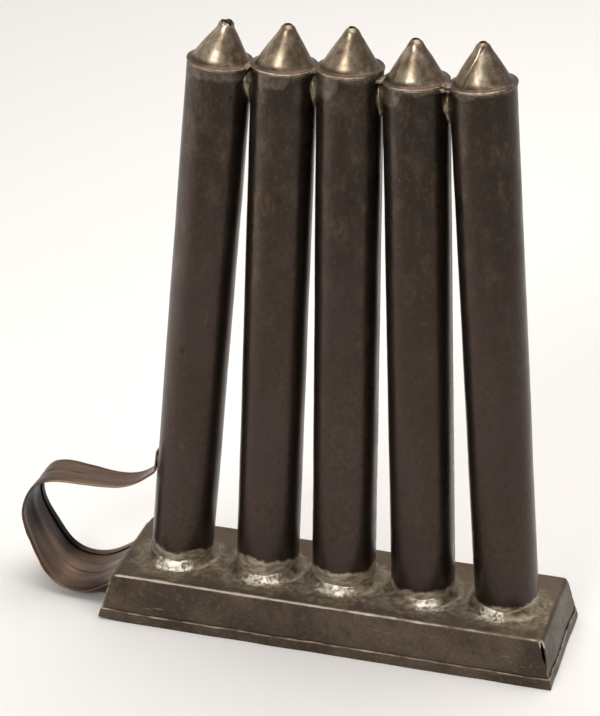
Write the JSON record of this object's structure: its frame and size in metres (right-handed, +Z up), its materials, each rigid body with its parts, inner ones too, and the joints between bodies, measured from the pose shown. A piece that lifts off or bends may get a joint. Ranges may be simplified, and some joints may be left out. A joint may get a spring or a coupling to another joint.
{
  "type": "candle mold",
  "caption": "Hand-soldered tinplate candle mold: a row of tapered tubes with conical wick tips, splayed out of a hemmed tray, with a looped strap handle at one end.",
  "frame": {"origin": "on the floor, at the middle of the mold's bounding box", "axes": "+X along the row of tubes, away from the handle; +Y to the back; +Z up to the wick tips"},
  "size_m": [0.2278, 0.0586, 0.2529],
  "materials": {
    "tray_tin": "aged",
    "tube_tin": "aged",
    "tip_tin": "worn satin",
    "handle_tin": "rusty",
    "solder": "dull bright"
  },
  "bodies": {
    "root": {"tray": "tray_tin", "corner_solder_front_left": "solder", "corner_solder_front_right": "solder", "corner_solder_back_left": "solder", "corner_solder_back_right": "solder", "tube_1": "tube_tin", "foot_solder_1": "solder", "tip_solder_1": "solder", "tip_cap_1": "tip_tin", "tube_2": "tube_tin", "foot_solder_2": "solder", "tip_solder_2": "solder", "tip_cap_2": "tip_tin", "tube_3": "tube_tin", "foot_solder_3": "solder", "tip_solder_3": "solder", "tip_cap_3": "tip_tin", "tube_4": "tube_tin", "foot_solder_4": "solder", "tip_solder_4": "solder", "tip_cap_4": "tip_tin", "tube_5": "tube_tin", "foot_solder_5": "solder", "tip_solder_5": "solder", "tip_cap_5": "tip_tin", "bridge_solder_1": "solder", "bridge_solder_2": "solder", "bridge_solder_3": "solder", "bridge_solder_4": "solder", "handle": "handle_tin", "handle_solder_tube": "solder", "handle_solder_tray": "solder"}
  },
  "joints": []
}
